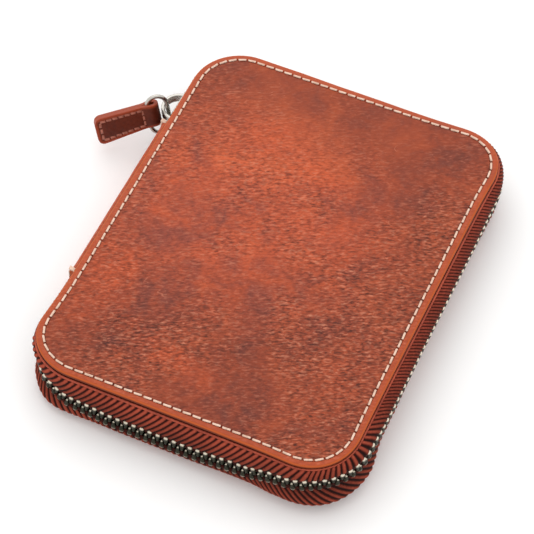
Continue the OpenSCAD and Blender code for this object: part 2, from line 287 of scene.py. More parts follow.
def spotDistance(place, x, y, along, across, turn):
    # distance from the middle of an oval spot, 1 on its border
    spot = addNode("ShaderNodeMapping", {
        "Vector": place, "Location": (x * mm, y * mm, 0), "Rotation": (0, 0, radians(turn)),
        "Scale": (along * mm, across * mm, 1)}, vector_type="TEXTURE").outputs[0]
    flat = addNode("ShaderNodeVectorMath", {0: spot, 1: (1, 1, 0)}, operation="MULTIPLY").outputs[0]
    return addNode("ShaderNodeVectorMath", {0: flat}, operation="LENGTH").outputs["Value"]


def coverMaterial(name, shift, rubbed):
    look = leatherLook
    made, shader, place = newMaterial(name, 0.5)
    flat = turnedPlace(place, look["grainTurn"], (1, 1, 1), shift)
    clouds = noiseAt(flat, 26, 5, 0.6, 0.4)
    blots = noiseAt(flat, 95, 4, 0.65, 0.8)
    drawn = turnedPlace(place, look["grainTurn"], look["grainScale"], shift)
    grain = noiseAt(drawn, 1.0, 3, 0.6, 0.5)
    cells = cellsAt(turnedPlace(place, look["grainTurn"], look["cellScale"], shift))
    shade = calc("MULTIPLY_ADD", blots, 0.45, calc("MULTIPLY", clouds, 0.55))
    colour = ramp(shade, (0.37, look["dark"]), (0.50, look["mid"]), (0.63, look["light"]))
    # rubbed places, with ragged borders
    ragged = calc("MULTIPLY_ADD", noiseAt(flat, 120, 5, 0.7, 1.0), 1.3, -0.65)
    for x, y, along, across, turn, strength in rubbed:
        away = spotDistance(place, x, y, along, across, turn)
        near = calc("SUBTRACT", calc("SUBTRACT", 1.0, away), ragged, clamp=True)
        colour = blendColour(calc("MULTIPLY", near, strength), colour,
                             opaque(look["orange"]))
    away = calc("MULTIPLY_ADD", clouds, 0.6, spotDistance(place, *look["middle"], 0))
    inner, outer = look["middleTone"]
    tone = ramp(calc("SUBTRACT", away, 0.3), (0.35, inner), (1.15, outer))
    colour = blendColour(1.0, colour, tone, "MULTIPLY")
    # dusty on the grain's crests and darker in its furrows, most where the hide is loose
    loose = ramp(noiseAt(flat, 34, 3, 0.5, 0.3), (0.40, 0.4), (0.6, 1))
    calm = ramp(spotDistance(place, *look["calm"], 0), (0.35, 0.30), (1.0, 1))
    loose = calc("MULTIPLY", loose, calm)
    crest = ramp(grain, (0.52, 0), (0.70, 0.72))
    colour = blendColour(calc("MULTIPLY", crest, loose), colour, opaque(look["dust"]))
    furrow = ramp(grain, (0.34, 0.34), (0.48, 1.0))
    colour = blendColour(loose, colour, furrow, "MULTIPLY")
    pores = ramp(cells, (0.28, 1.06), (0.62, 0.66))
    colour = blendColour(loose, colour, pores, "MULTIPLY")
    # thin light scuffs
    scuffs = turnedPlace(place, 35, (30, 160, 1), shift)
    line = calc("ABSOLUTE", calc("SUBTRACT", noiseAt(scuffs, 1.0, 2, 0.5, 1.5), 0.5))
    thin = ramp(line, (0.0, 1), (0.008, 0))
    some = ramp(noiseAt(flat, 60, 2), (0.5, 0), (0.62, 0.45))
    colour = blendColour(calc("MULTIPLY", thin, some), colour, opaque(look["scratch"]))
    # the margin outside the seam is lighter, and the rim is burnished
    edge = layerValue(place, "edge")
    unevenEdge = calc("MULTIPLY_ADD", blots, 0.12, calc("SUBTRACT", edge, 0.06))
    margin = ramp(unevenEdge, (0.30, 0), (0.42, 0.62))
    colour = blendColour(margin, colour, opaque(look["margin"]))
    rim = ramp(edge, (0.78, 0), (0.86, 1))
    colour = blendColour(rim, colour, opaque(look["rim"]))
    # the rim's outer side and its underside are painted dark, as painted shade where the roll turns down
    under = ramp(edge, (0.93, 0), (0.985, 1))
    colour = blendColour(under, colour, opaque(look["under"]))
    plug(shader, "Base Color", colour)
    gloss = calc("MULTIPLY_ADD", blots, 0.22, calc("MULTIPLY_ADD", grain, -0.12, 0.46))
    plug(shader, "Roughness", gloss)
    plug(shader, "Specular IOR Level", look["gloss"])
    smooth = calc("MULTIPLY", calm, calc("SUBTRACT", 1.0, calc("MULTIPLY", rim, 0.7)))
    first = bumpOf(calc("MULTIPLY", grain, smooth), look["bump"], 0.6)
    plug(shader, "Normal", bumpOf(cells, look["bump"] * 0.4, 0.5, first))
    return made


def plainLeather(name, dark, light, turn, roughness, grainSize, wornTone=1.9):
    made, shader, place = newMaterial(name, roughness)
    clouds = noiseAt(place, 60, 4, 0.6, 0.5)
    cells = cellsAt(turnedPlace(place, turn, [c / grainSize for c in (600, 900, 700)]))
    fine = noiseAt(place, 900 / grainSize, 3)
    colour = ramp(clouds, (0.35, dark), (0.65, light))
    colour = blendColour(0.5, colour, ramp(fine, (0.35, 0.7), (0.6, 1.1)),
                         "MULTIPLY")
    edge = layerValue(place, "edge")
    worn = ramp(edge, (0.35, 0), (0.8, 0.85))
    colour = blendColour(worn, colour, opaque(tuple(min(1, c * wornTone) for c in light)))
    plug(shader, "Base Color", colour)
    plug(shader, "Normal", bumpOf(cells, 0.0002, 0.6))
    plug(shader, "Roughness", calc("MULTIPLY_ADD", clouds, 0.2, roughness - 0.1))
    plug(shader, "Specular IOR Level", 0.3)
    return made


# Tape colours follow the rib height: painted shade in the valleys and a painted highlight on the crests,
# over the ribs' real shape
tapeLook = {"valley": (0.016, 0.002, 0.001), "flank": (0.090, 0.011, 0.005),
            "crest": (0.360, 0.064, 0.034)}


def tapeMaterial():
    look = tapeLook
    made, shader, place = newMaterial("tapeWeave", 0.85)
    ridge = layerValue(place, "ridge")
    yarn = noiseAt(place, 1500, 2)
    fade = noiseAt(place, 120, 3)
    # the ribs' valleys are painted dark as painted shade, and their crests light as a painted highlight
    level = calc("MULTIPLY_ADD", yarn, 0.3, calc("SUBTRACT", ridge, 0.15))
    colour = ramp(level, (0.25, look["valley"]), (0.58, look["flank"]), (0.9, look["crest"]))
    colour = blendColour(0.6, colour, ramp(fade, (0.3, 0.75), (0.7, 1.2)),
                         "MULTIPLY")
    # painted shade: darker towards the chain, where the tape lies in the shade of the teeth and the
    # cover
    edge = layerValue(place, "edge")
    soilAndShade = ramp(edge, (0.45, 1.0), (0.85, 0.55))
    colour = blendColour(1.0, colour, soilAndShade, "MULTIPLY")
    plug(shader, "Base Color", colour)
    plug(shader, "Normal", bumpOf(yarn, 0.00012, 0.6))
    plug(shader, "Specular IOR Level", 0.15)
    return made


def metalMaterial(name, dark, bright, roughness, wornFrom, wornTo):
    # dark patina in the hollows, bare metal where the worn attribute rises
    made, shader, place = newMaterial(name, roughness, 1.0)
    worn = layerValue(place, "worn")
    smut = noiseAt(place, 700, 3)
    level = calc("MULTIPLY_ADD", smut, 0.3, calc("SUBTRACT", worn, 0.15))
    bare = ramp(level, (wornFrom, 0), (wornTo, 1))
    plug(shader, "Base Color", blendColour(bare, opaque(dark), opaque(bright)))
    plug(shader, "Roughness", calc("MULTIPLY_ADD", smut, 0.2, roughness - 0.1))
    return made


def threadMaterial(name, dark, light):
    made, shader, place = newMaterial(name, 0.6)
    ply = addNode("ShaderNodeTexWave", {
        "Vector": turnedPlace(place, 20, (1, 1, 1)), "Scale": 420.0, "Distortion": 1.5,
        "Detail": 1.0}, bands_direction="DIAGONAL").outputs[1]
    soilAndShade = noiseAt(place, 500, 3)
    colour = ramp(soilAndShade, (0.3, dark), (0.6, light))
    plug(shader, "Base Color", colour)
    plug(shader, "Normal", bumpOf(ply, 0.0001, 0.5))
    plug(shader, "Sheen Weight", 0.2)
    return made


frontLeather = coverMaterial("frontLeather", (0, 0, 0), rubbedPlaces)
backLeather = coverMaterial("backLeather", (0.4, 0.7, 0), rubbedPlaces[3:])
pocketLeather = plainLeather("pocketLeather", (0.20, 0.040, 0.022), (0.33, 0.070, 0.035), 10, 0.45, 1.2)
liningLeather = plainLeather("liningLeather", (0.17, 0.055, 0.030), (0.25, 0.090, 0.050), 60, 0.6, 0.8)
weltLeather = plainLeather("weltLeather", (0.26, 0.038, 0.018), (0.44, 0.078, 0.036), 0, 0.6, 0.7)
# the tab's leather is the cover's leather with painted shade: its colours are darkened for the shade the
# tab hangs in, and its worn edges come back up to about the cover's tone
pullLeather = plainLeather("pullLeather", (0.050, 0.007, 0.003), (0.115, 0.018, 0.006), 30, 0.45, 0.9,
                           wornTone=2.9)
tapeWeave = tapeMaterial()
antiqueMetal = metalMaterial("antiqueMetal", (0.040, 0.040, 0.028), (0.74, 0.67, 0.54), 0.4, 0.4, 0.85)
nickelPlate = metalMaterial("nickelPlate", (0.50, 0.48, 0.44), (0.66, 0.64, 0.60), 0.28, 0.0, 0.3)
creamThread = threadMaterial("creamThread", (0.56, 0.35, 0.25), (0.76, 0.54, 0.42))
# the tab's thread is the cream thread darkened, as painted shade
tabThreadInShade = threadMaterial("tabThreadInShade", (0.26, 0.075, 0.042), (0.40, 0.13, 0.08))
board, boardShader, boardPlace = newMaterial("board", 0.9)
plug(boardShader, "Base Color",
     ramp(noiseAt(boardPlace, 800, 4), (0.3, (0.30, 0.20, 0.11)), (0.7, (0.45, 0.33, 0.20))))
print("materials", len(bpy.data.materials))


# The front's corners have been pressed outwards in use: x, y, shift in x and in y
cornerSettle = {"reach": 10.0, "corners": [
    (-50, -60, -1.3, -0.3), (45, -64, 0.5, -0.8), (47, 63, 1.1, 1.0)]}


def settle(bm):
    for v in bm.verts:
        high = max(0, v.co.z / caseHeight) ** 2
        for x, y, dx, dy in cornerSettle["corners"]:
            away = hypot(v.co.x - x, v.co.y - y) / cornerSettle["reach"]
            if away < 3:
                pull = high * exp(-away * away / 2)
                v.co.x += dx * pull
                v.co.y += dy * pull


def gridMesh(columns, rows, size=0.5):
    bm = bmesh.new()
    bmesh.ops.create_grid(bm, x_segments=columns, y_segments=rows, size=size)
    return bm


def meshFrom(bm, name):
    mesh = bpy.data.meshes.new(name)
    bm.to_mesh(mesh)
    bm.free()
    return mesh


def finishPiece(bm, name, material, body=None, nodes=(), sharp=40):
    # turns a millimetre bmesh into a piece in metres and puts it on its body
    settle(bm)
    bmesh.ops.scale(bm, vec=(mm, mm, mm), verts=bm.verts)
    mesh = meshFrom(bm, name)
    mesh.materials.append(material)
    mesh.shade_smooth()
    mesh.set_sharp_from_angle(angle=radians(sharp))
    piece = addObject(name, mesh)
    if body:
        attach(piece, body)
    if nodes:
        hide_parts(*nodes)
    return piece


def addWall(piece, thickness, offset):
    wall = piece.modifiers.new("wall", "SOLIDIFY")
    wall.thickness = thickness * mm
    wall.offset = offset
    return wall


def breakEdges(piece, width, segments, degrees):
    soft = piece.modifiers.new("edges", "BEVEL")
    soft.width = width * mm
    soft.segments = segments
    soft.limit_method = "ANGLE"
    soft.angle_limit = radians(degrees)


def turnOver(bm, height=caseHeight):
    # the front half is the back half's mirror image
    bmesh.ops.scale(bm, vec=(1, 1, -1), verts=bm.verts)
    bmesh.ops.translate(bm, vec=(0, 0, height), verts=bm.verts)
    bmesh.ops.reverse_faces(bm, faces=bm.faces)


def roundedFace(width, length, radius, z, segments=14):
    bm = gridMesh(1, 1)
    bmesh.ops.scale(bm, vec=(width, length, 1), verts=bm.verts)
    bmesh.ops.bevel(bm, geom=bm.verts[:], offset=radius, offset_type="OFFSET", segments=segments,
                    profile=0.5, affect="VERTICES", material=-1)
    bmesh.ops.translate(bm, vec=(0, 0, z), verts=bm.verts)
    return bm


def insetSteps(bm, face, steps):
    for thickness, rise in steps:
        bmesh.ops.inset_region(bm, faces=[face], thickness=thickness, depth=rise,
                               use_even_offset=True, use_boundary=True)


def closeUnder(bm, steps):
    # fills the open outline and rounds it in the same way
    rim = [e for e in bm.edges if e.is_boundary]
    face = bmesh.ops.edgeloop_fill(bm, edges=rim)["faces"][0]
    bmesh.ops.recalc_face_normals(bm, faces=bm.faces)
    insetSteps(bm, face, steps)


def cutInSquares(bm, step):
    xs = [v.co.x for v in bm.verts]
    ys = [v.co.y for v in bm.verts]
    for axis, low, high in ((0, min(xs), max(xs)), (1, min(ys), max(ys))):
        count = round((high - low) / step)
        for k in range(1, count):
            at, normal = [0, 0, 0], [0, 0, 0]
            at[axis] = low + (high - low) * k / count
            normal[axis] = 1
            bmesh.ops.bisect_plane(bm, geom=bm.verts[:] + bm.edges[:] + bm.faces[:], dist=0.0005,
                                   plane_co=at, plane_no=normal)


def markEdge(bm, depthOf, reach):
    layer = bm.verts.layers.float.new("edge")
    for v in bm.verts:
        v[layer] = 1 - min(1, max(0, depthOf(v) / reach))


# Covers: a rolled rim, a margin, a channel for the seam and a face that isn't quite flat
coverShape = {
    "rim": [(0.10, 0.30), (0.16, 0.22), (0.26, 0.16), (0.40, 0.07), (1.08, 0.02)],
    "channel": [(0.22, -0.26), (0.28, -0.06), (0.28, 0.06), (0.22, 0.26)],
    "inner": [(0.9, 0.05), (2.2, 0.06)],
    "under": [(0.12, 0.40), (0.25, 0.25)],
    "crown": 0.45,
    "wave": 0.16,
    "ripple": 0.05,
    "bend": 0.12,
    "step": 1.6,
    "floor": -0.02,     # the back's outside stays above this height
}


def makeCover(name, material, body, node, front, seed):
    look = coverShape
    topSteps = look["rim"] + look["channel"] + look["inner"]
    under = sum(rise for _, rise in look["under"])
    bm = roundedFace(2 * halfWidth, 2 * halfLength, cornerRadius, 0)
    insetSteps(bm, bm.faces[:][0], topSteps)
    closeUnder(bm, look["under"])
    cutInSquares(bm, look["step"])
    for v in bm.verts:
        x, y, z = v.co
        if z < -0.01:
            continue
        depth = depthInside(x, y)
        inner = ease(0, 14, depth)
        v.co.z += inner * look["crown"] * (1 - (x / halfWidth) ** 2) * (1 - (y / halfLength) ** 2)
        v.co.z += look["wave"] * noise.noise((x / 26, y / 26, seed)) * ease(0, 6, depth)
        v.co.z += look["ripple"] * noise.noise((x / 5, y / 7, seed + 3)) * ease(0, 3, depth)
        bend = look["bend"] * noise.noise((x / 14, y / 14, seed + 7)) * (1 - ease(0, 3, depth))
        v.co.x -= bend * x / halfWidth
        v.co.y -= bend * y / halfLength
    markEdge(bm, lambda v: depthInside(v.co.x, v.co.y) if v.co.z > 0.02 else 0, 3.4)
    # the outside faces down on the back half, so the shell is built face up and turned over
    bmesh.ops.translate(bm, vec=(0, 0, under), verts=bm.verts)
    turnOver(bm, leatherThickness)
    if front:
        turnOver(bm)
    else:
        for v in bm.verts:
            v.co.z = max(v.co.z, look["floor"])
    return finishPiece(bm, name, material, body, [node])


makeCover("backCover", backLeather, "back_half", "back_cover", False, 11.0)
makeCover("frontCover", frontLeather, "front_half", "front_cover", True, 2.0)
print("covers")


def scatter(bm, shape, places):
    for place in places:
        first = len(bm.verts)
        bm.from_mesh(shape)
        bm.verts.ensure_lookup_table()
        bmesh.ops.transform(bm, matrix=place, verts=bm.verts[first:])


def placeMatrix(point, along, outward, tilt=0.0):
    # x along, y outward, z the rest
    up = along.cross(outward)
    turn = Matrix((along, outward, up)).transposed().to_4x4()
    return Matrix.Translation(point) @ turn @ Matrix.Rotation(tilt, 4, "Z")


def softBlock(bm, size, centre, rounding, segments=1):
    made = bmesh.ops.create_cube(bm, size=1)["verts"]
    bmesh.ops.scale(bm, vec=size, verts=made)
    edges = list({e for v in made for e in v.link_edges})
    bevelled = bmesh.ops.bevel(bm, geom=edges, offset=rounding, offset_type="OFFSET",
                               segments=segments, profile=0.5, affect="EDGES", material=-1)
    bmesh.ops.translate(bm, vec=centre, verts=list({v for f in bevelled["faces"] for v in f.verts}))


threadShape = {"length": 2.6, "width": 0.66, "height": 0.5, "slant": 6, "channel": 0.30}


def stitchMesh(length, width, height):
    bm = bmesh.new()
    softBlock(bm, (length, width, height), (0, 0, 0), height * 0.34, 2)
    for v in bm.verts:
        v.co.z -= height * 0.8 * (2 * v.co.x / length) ** 4
        v.co.y += 0.12 * width * sin(9 * v.co.x / length)
    return meshFrom(bm, "stitch")


stitch = stitchMesh(threadShape["length"], threadShape["width"], threadShape["height"])


def seamPlaces(inset, z, pitch, flip):
    # stitches round the whole rim, a given distance inside it
    length = edgeLength - 2 * pi * inset
    count = round(length / pitch)
    places = []
    for k in range(count):
        s = rimDistance((k + 0.5) / count, inset)
        point, outward = rimPlace(s, -inset)
        point.z = z
        along = Vector((-outward.y, outward.x, 0))
        tilt = radians(threadShape["slant"] + 3 * noise.noise((k * 1.7, inset, z)))
        places.append(placeMatrix(point, along * flip, outward, tilt))
    return places


def rimDistance(share, inset):
    # even spacing along an inner line, as a distance along the rim
    inner = pi / 2 * (cornerRadius - inset)
    legs = [inner, 2 * straightX, inner, 2 * straightY, inner, 2 * straightX, inner, 2 * straightY]
    real = [quarter, 2 * straightX, quarter, 2 * straightY] * 2
    left = share * sum(legs)
    done = 0.0
    for leg, span in zip(legs, real):
        if left <= leg:
            return done + left / leg * span
        left -= leg
        done += span
    return done


def makeSeam(name, body, node, front):
    # one row in the cover's channel and one on the lining
    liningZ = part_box("back_lining")[1].z / mm
    bm = bmesh.new()
    for z, flip in ((threadShape["channel"], -1), (liningZ, 1)):
        scatter(bm, stitch, seamPlaces(case["seamInset"], z, case["stitchPitch"], flip))
    if front:
        turnOver(bm)
    return finishPiece(bm, name, creamThread, body, [node], 60)


makeSeam("backSeam", "back_half", "back_stitches", False)
makeSeam("frontSeam", "front_half", "front_stitches", True)
print("seams")

toothShape = {"pitch": 2.7, "chain": 5.3, "width": 1.5, "depth": 2.3, "legs": 1.9, "head": 1.7,
              "headWidth": 1.15, "bite": 0.5, "endGaps": (0.7, 2.0)}

# Zipper tape: a ribbed band from under the cover's edge down to the chain
tapeShape = {"ribPitch": 2.03, "ribLean": 0.85, "ribHeight": 0.4, "rows": 30, "samples": 8,
             "finePitch": 1.3, "fineLean": -0.95, "fineFrom": 104, "fineTo": 138,
             "ribSharpness": 2.6, "flatTone": 0.45, "tailRibs": 0.1,
             "thickness": 0.5, "flange": 4.0, "bead": 1.2,
             "tailEnd": 27,             # the tails end this far from the spine's middle
             "foldBand": (2.4, 5.5)}    # two heights in mm


def tapeLine(s, front):
    # section of the tape as outward distance and height, from the flange to the bead
    height, out, belly, lean, backBelly = chainAt(s)
    if not front:
        height = caseHeight - height
        lean = -lean
        belly = backBelly
    top = caseHeight - leatherThickness - 0.5
    rise = toothShape["chain"] / 2 + 0.3
    start = Vector((-case["tapeInset"] - 0.3, top))
    end = Vector((out - lean * rise / leanHeight, height + rise))
    bead = Vector((out - lean * 1.4 / leanHeight, height + tapeShape["bead"]))
    drop = max(1.0, start.y - end.y)
    handleA = start + Vector((0.8 + 1.2 * belly, -0.15 * drop))
    handleB = end + Vector((0.4 * belly, 0.45 * drop))
    line = [Vector((-tapeShape["flange"], top)), Vector((-tapeShape["flange"] * 0.5, top))]
    rows = tapeShape["rows"] - 4
    for k in range(rows):
        t = k / (rows - 1)
        line.append(start * (1 - t) ** 3 + handleA * 3 * t * (1 - t) ** 2
                    + handleB * 3 * t * t * (1 - t) + end * t ** 3)
    return line + [end.lerp(bead, 0.5), bead]


def ribHeightAt(s, depth, fine, beyond):
    # 0 in a valley and 1 on a crest; fine ribs have another pitch and lean the other way
    look = tapeShape
    lean = look["ribLean"] * (1 - fine) + look["fineLean"] * fine
    phase = s / look["ribPitch"] + beyond * (1 / look["finePitch"] - 1 / look["ribPitch"])
    phase += lean * depth / (look["ribPitch"] * (1 - fine) + look["finePitch"] * fine)
    return abs(sin(pi * phase)) ** look["ribSharpness"]


def makeTape(name, spans, front, ribHeight):
    look = tapeShape
    bm = bmesh.new()
    ridge = bm.verts.layers.float.new("ridge")
    edge = bm.verts.layers.float.new("edge")
    for fromS, toS in spans:
        columns = max(8, round((toS - fromS) / look["ribPitch"] * look["samples"]))
        made = bmesh.ops.create_grid(bm, x_segments=columns, y_segments=look["rows"] - 1, size=0.5)
        lines = {}
        for v in made["verts"]:
            column = round((v.co.x + 0.5) * columns)
            row = round((v.co.y + 0.5) * (look["rows"] - 1))
            s = fromS + (toS - fromS) * column / columns
            if column not in lines:
                line = tapeLine(s, front)
                depth = [0.0]
                for a, b in zip(line, line[1:]):
                    depth.append(depth[-1] + (b - a).length)
                lines[column] = (line, depth)
            line, depth = lines[column]
            before = line[max(row - 1, 0)]
            after = line[min(row + 1, len(line) - 1)]
            run = (after - before).normalized()
            # only the front's ribs turn fine, past the near right corner
            fine = ease(look["fineFrom"], look["fineTo"], s) if front else 0
            beyond = max(0, s - look["fineFrom"]) if front else 0
            rib = ribHeightAt(s, depth[row], fine, beyond)
            # no ribs under the cover, and hardly any beside the teeth
            shown = ease(look["flange"] - 0.6, look["flange"] + 0.8, depth[row])
            shown *= 1 - 0.8 * ease(depth[-1] - 2.0, depth[-1] - 1.0, depth[row])
            shown *= 1 - 0.35 * fine
            v[ridge] = rib * shown + (1 - shown) * look["flatTone"]
            v[edge] = depth[row] / depth[-1]
            out = line[row].x - run.y * ribHeight * rib * shown
            z = line[row].y + run.x * ribHeight * rib * shown
            point, _ = rimPlace(s, out)
            v.co = (point.x, point.y, z if front else caseHeight - z)
    bmesh.ops.recalc_face_normals(bm, faces=bm.faces)
    piece = finishPiece(bm, name, tapeWeave, sharp=180)
    addWall(piece, look["thickness"], -1)
    return piece


freeEnd = quarter * case["splitAngle"] / 90
tail = straightY - tapeShape["tailEnd"]
halfSpan = (freeEnd, spineSide - freeEnd)
tailSpans = [(spineSide - freeEnd, spineSide + tail), (edgeLength - tail, edgeLength + freeEnd)]
for name, body, node, front in (("backTape", "back_half", "back_tape", False),
                                ("frontTape", "front_half", "front_tape", True)):
    tape = makeTape(name, [halfSpan], front, tapeShape["ribHeight"])
    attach(tape, body)
    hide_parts(node)
for name, bodies, front in (("spineTapeLower", ("back_half", "spine"), False),
                            ("spineTapeUpper", ("spine", "front_half"), True)):
    tape = makeTape(name, tailSpans, front, tapeShape["tailRibs"])
    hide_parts("spine_tapes")
    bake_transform(tape)
print("tapes")

# The second edge: the lining's turned rim shows as a thin bead under each cover
weltShape = {"radius": 0.46, "alongTape": 0.55, "proud": 0.42, "notch": 0.12, "notchPitch": 1.1,
             "columns": 720, "around": 8}


def makeWelt(name, body, front):
    look = weltShape
    columns = look["columns"]
    bm = gridMesh(columns, look["around"])
    centres = {}
    for v in bm.verts:
        s = edgeLength * round((v.co.x + 0.5) * columns) / columns % edgeLength
        angle = 2 * pi * (v.co.y + 0.5)
        pinch = 0.5 + 0.5 * sin(2 * pi * s / look["notchPitch"])
        radius = look["radius"] - look["notch"] * pinch
        if s not in centres:
            line = tapeLine(s, front)[2:]
            left = look["alongTape"]
            row = 0
            while left > (line[row + 1] - line[row]).length:
                left -= (line[row + 1] - line[row]).length
                row += 1
            run = (line[row + 1] - line[row]).normalized()
            centres[s] = line[row] + run * left + Vector((-run.y, run.x)) * look["proud"]
        point, _ = rimPlace(s, centres[s].x + radius * cos(angle))
        z = centres[s].y + radius * sin(angle)
        v.co = (point.x, point.y, z if front else caseHeight - z)
    bmesh.ops.remove_doubles(bm, verts=bm.verts, dist=0.001)
    bmesh.ops.recalc_face_normals(bm, faces=bm.faces)
    return finishPiece(bm, name, weltLeather, body, (), 80)


makeWelt("backWelt", "back_half", False)
makeWelt("frontWelt", "front_half", True)
print("welts")

# Teeth: two legs clamp the tape's bead, and a narrower head meshes with the other row


def toothMesh():
    look = toothShape
    bm = bmesh.new()
    worn = bm.verts.layers.float.new("worn")
    foot = look["chain"] / 2
    softBlock(bm, (look["width"], look["depth"], look["legs"]), (0, 0, look["legs"] / 2 - foot), 0.36)
    softBlock(bm, (look["headWidth"], look["depth"] - 0.1, look["head"]),
              (0, 0, look["bite"] - look["head"] / 2), 0.4)
    for v in bm.verts:
        atLeg = ease(0.55 - foot, 0.25 - foot, v.co.z)
        atHead = ease(look["bite"] - 0.5, look["bite"] - 0.2, v.co.z)
        v[worn] = max(atLeg, atHead) * ease(0.2, 0.6, abs(v.co.y) / (look["depth"] / 2))
    return meshFrom(bm, "tooth")


tooth = toothMesh()
# the chain's own length, added up in short steps, against the distance along the rim
chainSteps = 2400
chainTable = [(0.0, 0.0)]
for k in range(1, chainSteps + 1):
    s = edgeLength * k / chainSteps
    step = chainPoint(s)[0] - chainPoint(edgeLength * (k - 1) / chainSteps)[0]
    chainTable.append((chainTable[-1][0] + step.length, s))
chainRun = [row[0] for row in chainTable]


def alongChain(run):
    # rim distance where the chain's own length is run
    row = min(max(bisect_right(chainRun, run), 1), len(chainRun) - 1)
    (r0, s0), (r1, s1) = chainTable[row - 1], chainTable[row]
    return s0 + (s1 - s0) * (run - r0) / (r1 - r0)


def runAt(s):
    row = min(max(int(s / edgeLength * chainSteps), 0), chainSteps - 1)
    (r0, s0), (r1, s1) = chainTable[row], chainTable[row + 1]
    return r0 + (r1 - r0) * (s - s0) / (s1 - s0)


def makeTeeth(name, body, node, runs, rows):
    bm = bmesh.new()
    bm.verts.layers.float.new("worn")
    for run in runs:
        for front in rows:
            s = alongChain(run + (toothShape["pitch"] / 2 if front else 0))
            point, outward = chainPoint(s)
            ahead = (chainPoint(s + 0.5)[0] - chainPoint(s - 0.5)[0]).normalized()
            lean = chainAt(s)[3] / leanHeight
            up = (Vector((0, 0, 1)) - outward * lean).normalized()
            up = (up - ahead * up.dot(ahead)).normalized()
            across = up.cross(ahead)
            turn = Matrix((ahead, across, up)).transposed()
            if front:
                turn = turn @ Matrix.Diagonal((-1, 1, -1))
            scatter(bm, tooth, [Matrix.Translation(point) @ turn.to_4x4()])
    bmesh.ops.recalc_face_normals(bm, faces=bm.faces)
    return finishPiece(bm, name, antiqueMetal, body, [node], 50)


def evenRuns(fromRun, toRun):
    pitch = toothShape["pitch"]
    count = int((toRun - fromRun) / pitch)
    spare = (toRun - fromRun) - count * pitch
    return [fromRun + spare / 2 + pitch * k for k in range(count + 1)]


firstGap, lastGap = toothShape["endGaps"]
caseRuns = evenRuns(runAt(freeEnd) + firstGap, runAt(spineSide - freeEnd) - lastGap)
makeTeeth("backTeeth", "back_half", "back_teeth", caseRuns, (False,))
makeTeeth("frontTeeth", "front_half", "front_teeth", caseRuns, (True,))
# the spine's own teeth: from the far corner into the slider, and from the strip to the near corner
steps = [toothShape["pitch"] * k for k in range(1, 30)]
insideSlider = runAt(spineSide + straightY - sliderLow.y - 4)
besideStrip = runAt(edgeLength - (straightY + stripLow.y) + 3.4)
spineRuns = [caseRuns[-1] + step for step in steps if caseRuns[-1] + step < insideSlider]
nearRuns = [caseRuns[0] + chainRun[-1] - step for step in steps]
nearRuns = [run for run in nearRuns if besideStrip < run < chainRun[-1] + 4]
makeTeeth("spineTeeth", "spine", "spine_teeth", spineRuns + nearRuns, (False, True))
print("teeth", 2 * len(caseRuns) + 2 * len(spineRuns + nearRuns))


def metalCopy(name, node, material, body, bevel, segments=2):
    # the frame's own shape, welded, with its hard edges broken
    bm = bmesh.new()
    bm.from_mesh(frame["nodes"][node].data)
    bmesh.ops.scale(bm, vec=(1 / mm,) * 3, verts=bm.verts)
    bmesh.ops.remove_doubles(bm, verts=bm.verts, dist=0.002)
    bmesh.ops.dissolve_limit(bm, angle_limit=radians(1), verts=bm.verts, edges=bm.edges)
    piece = finishPiece(bm, name, material, body, [node], 35)
    breakEdges(piece, bevel, segments, 40)
    return piece


metalCopy("sliderBody", "slider_body", nickelPlate, "slider", 0.22)
metalCopy("sliderCrown", "slider_crown", nickelPlate, "slider", 0.42, 4)
metalCopy("topStops", "top_stops", antiqueMetal, "spine", 0.15)
metalCopy("bottomStop", "bottom_stop", antiqueMetal, "spine", 0.15)

# Pull: its frame lies on the ring's near wire, x outwards along the pull and z along the wires
pullShape = {"turn": (18, 5.6, 219.7), "wireIn": 3.45, "wire": 1.4, "gap": 6.8, "ringLength": 15.5,
             "foldBack": 1.9, "loop": 1.5, "leather": 1.3, "free": 24.8, "sewn": 8.8,
             "width": 10.2, "narrow": 2.4, "corner": 2.4, "seam": 1.5, "seamStart": 8.4,
             "stitch": (1.85, 0.85, 0.5), "stitchPitch": 2.1, "groove": 0.14, "edge": 0.28}
crownCentre = Vector(joints["ring_swing"]["pos_m"]) / mm
heading = radians(pullShape["turn"][2])
nearWire = crownCentre + pullShape["wireIn"] * Vector((cos(heading), sin(heading), 0))
pullTurn = Euler([radians(a) for a in pullShape["turn"]], "XYZ").to_matrix().to_4x4()
pullFrame = Matrix.Translation(nearWire) @ pullTurn


def makeRing():
    look = pullShape
    capRadius = look["gap"] / 2
    half = look["ringLength"] / 2 - look["wire"] / 2 - capRadius
    bm = bmesh.new()
    bmesh.ops.create_circle(bm, cap_ends=False, segments=20, radius=look["wire"] / 2)
    # one cap is spun, then mirrored, and the straight wires bridge the gap
    bmesh.ops.spin(bm, geom=bm.verts[:] + bm.edges[:], cent=(capRadius, 0, 0), axis=(0, 1, 0),
                   dvec=(0, 0, 0), angle=pi, steps=28, use_duplicate=False)
    lowest = min(v.co.z for v in bm.verts)
    bmesh.ops.scale(bm, vec=(1, 1, 1 if abs(lowest) < capRadius / 2 else -1), verts=bm.verts)
    bmesh.ops.translate(bm, vec=(0, 0, half), verts=bm.verts)
    other = bmesh.ops.duplicate(bm, geom=bm.verts[:] + bm.edges[:] + bm.faces[:])["geom"]
    otherVerts = [g for g in other if isinstance(g, bmesh.types.BMVert)]
    bmesh.ops.scale(bm, vec=(1, 1, -1), verts=otherVerts)
    rims = [e for e in bm.edges if e.is_boundary]
    for x in (0, look["gap"]):
        side = [e for e in rims if all(abs(v.co.x - x) < look["wire"] and abs(abs(v.co.z) - half) < 0.01
                                       for v in e.verts)]
        bmesh.ops.bridge_loops(bm, edges=side)
    bmesh.ops.recalc_face_normals(bm, faces=bm.faces)
    bmesh.ops.transform(bm, matrix=pullFrame, verts=bm.verts)
    return finishPiece(bm, "pullRing", nickelPlate, "pull_ring", ["pull_ring"], 60)


makeRing()


